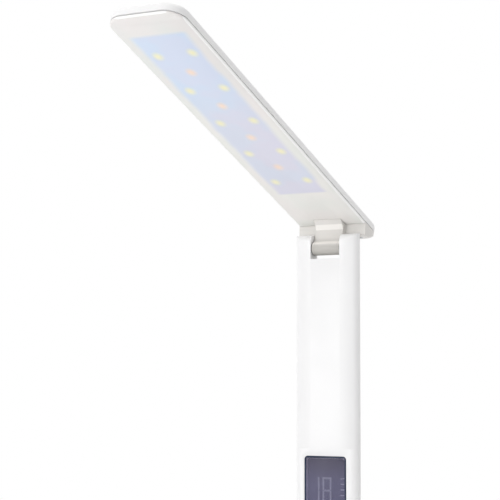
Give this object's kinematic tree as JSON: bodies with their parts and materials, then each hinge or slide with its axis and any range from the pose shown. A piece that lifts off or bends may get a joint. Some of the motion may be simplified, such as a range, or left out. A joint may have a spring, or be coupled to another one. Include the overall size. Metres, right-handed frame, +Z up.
{
  "type": "folding led desk lamp",
  "caption": "Folding desk lamp: flat LED head on a wide arm with a clock display, friction pivots at both ends, and a weighted base with touch keys.",
  "frame": {"origin": "on the table, under the middle of the base", "axes": "+Z up; X along both pivots; -Y to the front, where the head points"},
  "size_m": [0.096, 0.2638, 0.4242],
  "materials": {
    "shell": "satin white, fine moulded texture",
    "diffuser": "frosted",
    "led_board": "white solder mask",
    "cool_led": "clear over pale yellow phosphor",
    "warm_led": "clear over orange phosphor",
    "steel": "zinc plated",
    "ballast": "bare steel plate",
    "brass": "sheet",
    "nylon": "natural nylon",
    "lens": "polished smoke tint",
    "display_glass": "polished",
    "digits": "pale liquid crystal segments",
    "light_guide": "polished edge-lit plate",
    "strip_rubber": "silicone",
    "circuit_board": "green solder mask",
    "black_plastic": "moulded",
    "panel": "polished",
    "marks": "printed",
    "pad": "fine ribbed foam rubber",
    "lead": "insulated wire"
  },
  "bodies": {
    "base": {"base_pad": "pad", "base_bottom_cover": "shell", "base_top_cover": "shell", "base_screws": "steel", "ballast_plate": "ballast", "ballast_screws": "steel", "touch_panel": "panel", "key_marks": "marks", "touch_springs": "steel", "control_board": "circuit_board", "board_parts": "black_plastic", "board_screws": "steel", "dc_jack": "black_plastic", "base_lead": "lead", "base_neck": "shell", "base_neck_screws": "steel"},
    "arm": {"lower_bracket": "steel", "lower_pin": "steel", "lower_friction_washers": "nylon", "lower_disc_springs": "steel", "lower_nut": "steel", "lower_bracket_screws": "steel", "arm_front_cover": "shell", "arm_rear_cover": "shell", "arm_screws": "steel", "arm_lead": "lead", "display_lens": "lens", "display_glass": "display_glass", "display_digits": "digits", "backlight_plate": "light_guide", "display_strips": "strip_rubber", "clock_board": "circuit_board", "clock_chip": "black_plastic", "button_switches": "black_plastic", "alarm_buzzer": "black_plastic", "coin_cell": "steel", "cell_clip": "brass", "cell_door": "shell", "cell_door_screw": "steel", "upper_bracket": "steel", "upper_pin": "steel", "upper_friction_washers": "nylon", "upper_disc_springs": "steel", "upper_nut": "steel", "upper_bracket_screws": "steel"},
    "set_button": {"set_button": "shell"},
    "up_button": {"up_button": "shell"},
    "down_button": {"down_button": "shell"},
    "head": {"head_hinge_block": "shell", "hinge_block_screws": "steel", "head_top_cover": "shell", "diffuser": "diffuser", "led_board": "led_board", "cool_leds": "cool_led", "warm_leds": "warm_led", "led_board_screws": "steel", "head_lead": "lead"}
  },
  "joints": [
    {"name": "arm_fold", "type": "hinge", "parent": "base", "child": "arm", "pos_m": [0, 0.068, 0.043], "axis": [1, 0, 0], "range_deg": [-30, 90]},
    {"name": "head_tilt", "type": "hinge", "parent": "arm", "child": "head", "pos_m": [0, 0.068, 0.31], "axis": [-1, 0, 0], "range_deg": [-111, 69]},
    {"name": "set_press", "type": "slide", "parent": "arm", "child": "set_button", "axis": [0, -1, 0], "range_m": [0, 0.0005], "stiffness_N_per_m": 600},
    {"name": "up_press", "type": "slide", "parent": "arm", "child": "up_button", "axis": [0, -1, 0], "range_m": [0, 0.0005], "stiffness_N_per_m": 600},
    {"name": "down_press", "type": "slide", "parent": "arm", "child": "down_button", "axis": [0, -1, 0], "range_m": [0, 0.0005], "stiffness_N_per_m": 600}
  ]
}
